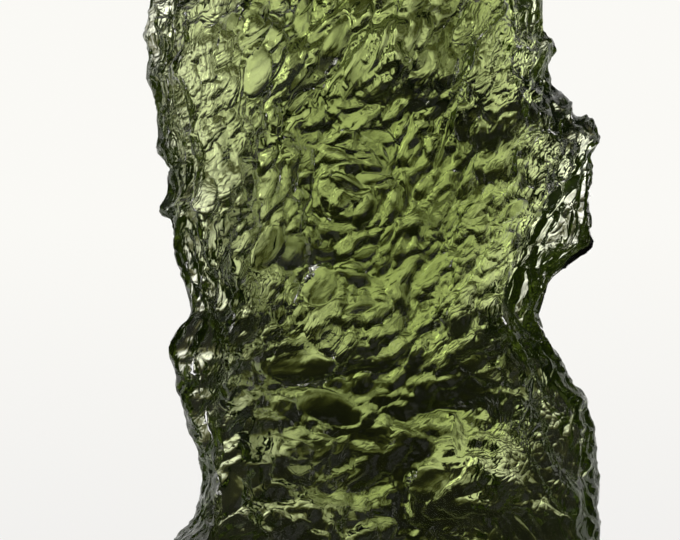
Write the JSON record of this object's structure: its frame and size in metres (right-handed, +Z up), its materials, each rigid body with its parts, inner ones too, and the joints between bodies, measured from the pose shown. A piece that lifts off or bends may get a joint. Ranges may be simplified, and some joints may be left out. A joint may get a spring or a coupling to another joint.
{
  "type": "moldavite",
  "caption": "Elongated flat splinter of natural green tektite glass with deeply etched scoops and ridges, thin ragged edges, and a small flat spot underneath to lie on.",
  "frame": {"origin": "middle of the bounding box's bottom, on the surface that the stone lies on", "axes": "+Y along the stone's length, +X across its width, +Z up through its thickness, from the resting back to the etched front"},
  "size_m": [0.0186, 0.0334, 0.0095],
  "materials": {
    "moldavite_glass": "natural etched surface, glossy, olive green and see-through where thin"
  },
  "bodies": {
    "root": {"moldavite": "moldavite_glass"}
  },
  "joints": []
}
